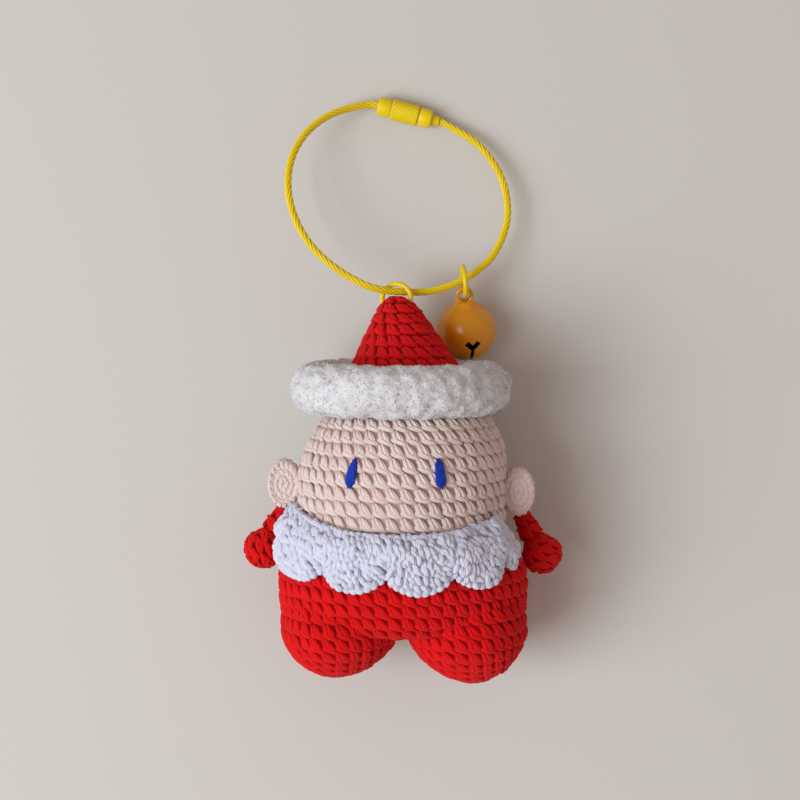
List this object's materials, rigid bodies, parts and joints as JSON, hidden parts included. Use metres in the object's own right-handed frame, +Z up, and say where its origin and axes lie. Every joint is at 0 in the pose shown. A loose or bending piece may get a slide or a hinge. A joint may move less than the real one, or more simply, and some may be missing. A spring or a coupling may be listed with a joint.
{
  "type": "crochet santa keychain",
  "caption": "Stuffed crochet santa doll lying on its back, with a screw-closed wire rope key loop through the jump ring in its hat and a jingle bell on the loop.",
  "frame": {"origin": "on the table, under the middle of the whole object's bounding box", "axes": "+X towards the right of the picture, +Y from the doll's feet towards the key loop, +Z up from the table towards the doll's face"},
  "size_m": [0.0716, 0.1362, 0.0497],
  "materials": {
    "red_yarn": "matte",
    "pink_yarn": "matte",
    "white_plush": "matte",
    "white_yarn": "matte",
    "blue_yarn": "matte",
    "fibre_fill": "matte",
    "yellow_lacquer": "gloss",
    "amber_lacquer": "gloss",
    "pellet_steel": "satin"
  },
  "bodies": {
    "doll": {"hat_cone": "red_yarn", "hat_brim": "white_plush", "hat_stuffing": "fibre_fill", "head": "pink_yarn", "left_ear": "pink_yarn", "right_ear": "pink_yarn", "left_eye": "blue_yarn", "right_eye": "blue_yarn", "beard": "white_yarn", "body": "red_yarn", "left_leg": "red_yarn", "right_leg": "red_yarn", "stuffing": "fibre_fill"},
    "left_arm": {"left_arm": "red_yarn"},
    "right_arm": {"right_arm": "red_yarn"},
    "hat_ring": {"hat_ring": "yellow_lacquer"},
    "key_loop": {"cable": "yellow_lacquer", "stud_end": "yellow_lacquer", "swivel_end": "yellow_lacquer"},
    "nut": {"knurled_nut": "yellow_lacquer"},
    "bell_ring": {"bell_ring": "yellow_lacquer"},
    "bell": {"bell_shell": "amber_lacquer"},
    "pellet": {"bell_pellet": "pellet_steel"}
  },
  "joints": [
    {"name": "hat_ring_swing", "type": "hinge", "parent": "doll", "child": "hat_ring", "pos_m": [-0.00145, 0.01576, 0.01494], "axis": [0.9563, 0, 0.2924], "range_deg": [0, 20]},
    {"name": "key_ring_swing", "type": "hinge", "parent": "hat_ring", "child": "key_loop", "pos_m": [-0.00136, 0.02091, 0.01494], "axis": [0.9186, -0.0402, -0.3932], "range_deg": [0, 110]},
    {"name": "nut_turn", "type": "hinge", "parent": "key_loop", "child": "nut", "pos_m": [-0.00261, 0.06513, 0.00304], "axis": [0.9683, -0.245, -0.0488], "range_deg": [0, 1350]},
    {"name": "bell_ring_swing", "type": "hinge", "parent": "key_loop", "child": "bell_ring", "pos_m": [0.01456, 0.02419, 0.01087], "axis": [0.84, 0.4937, -0.2249], "range_deg": [0, 95]},
    {"name": "bell_swing", "type": "hinge", "parent": "bell_ring", "child": "bell", "pos_m": [0.01436, 0.02033, 0.01033], "axis": [0.025, -0.3738, 0.9272], "range_deg": [-30, 30]},
    {"name": "pellet_roll", "type": "hinge", "parent": "bell", "child": "pellet", "pos_m": [0.01491, 0.01223, 0.00705], "axis": [0.9978, 0.0668, 0], "continuous": true},
    {"name": "left_arm_swing", "type": "hinge", "parent": "doll", "child": "left_arm", "pos_m": [-0.0253, -0.03076, 0.01788], "axis": [0, 0.0615, -0.9981], "range_deg": [0, 20]},
    {"name": "right_arm_swing", "type": "hinge", "parent": "doll", "child": "right_arm", "pos_m": [0.0246, -0.03076, 0.01788], "axis": [0, -0.0615, 0.9981], "range_deg": [0, 20]}
  ]
}
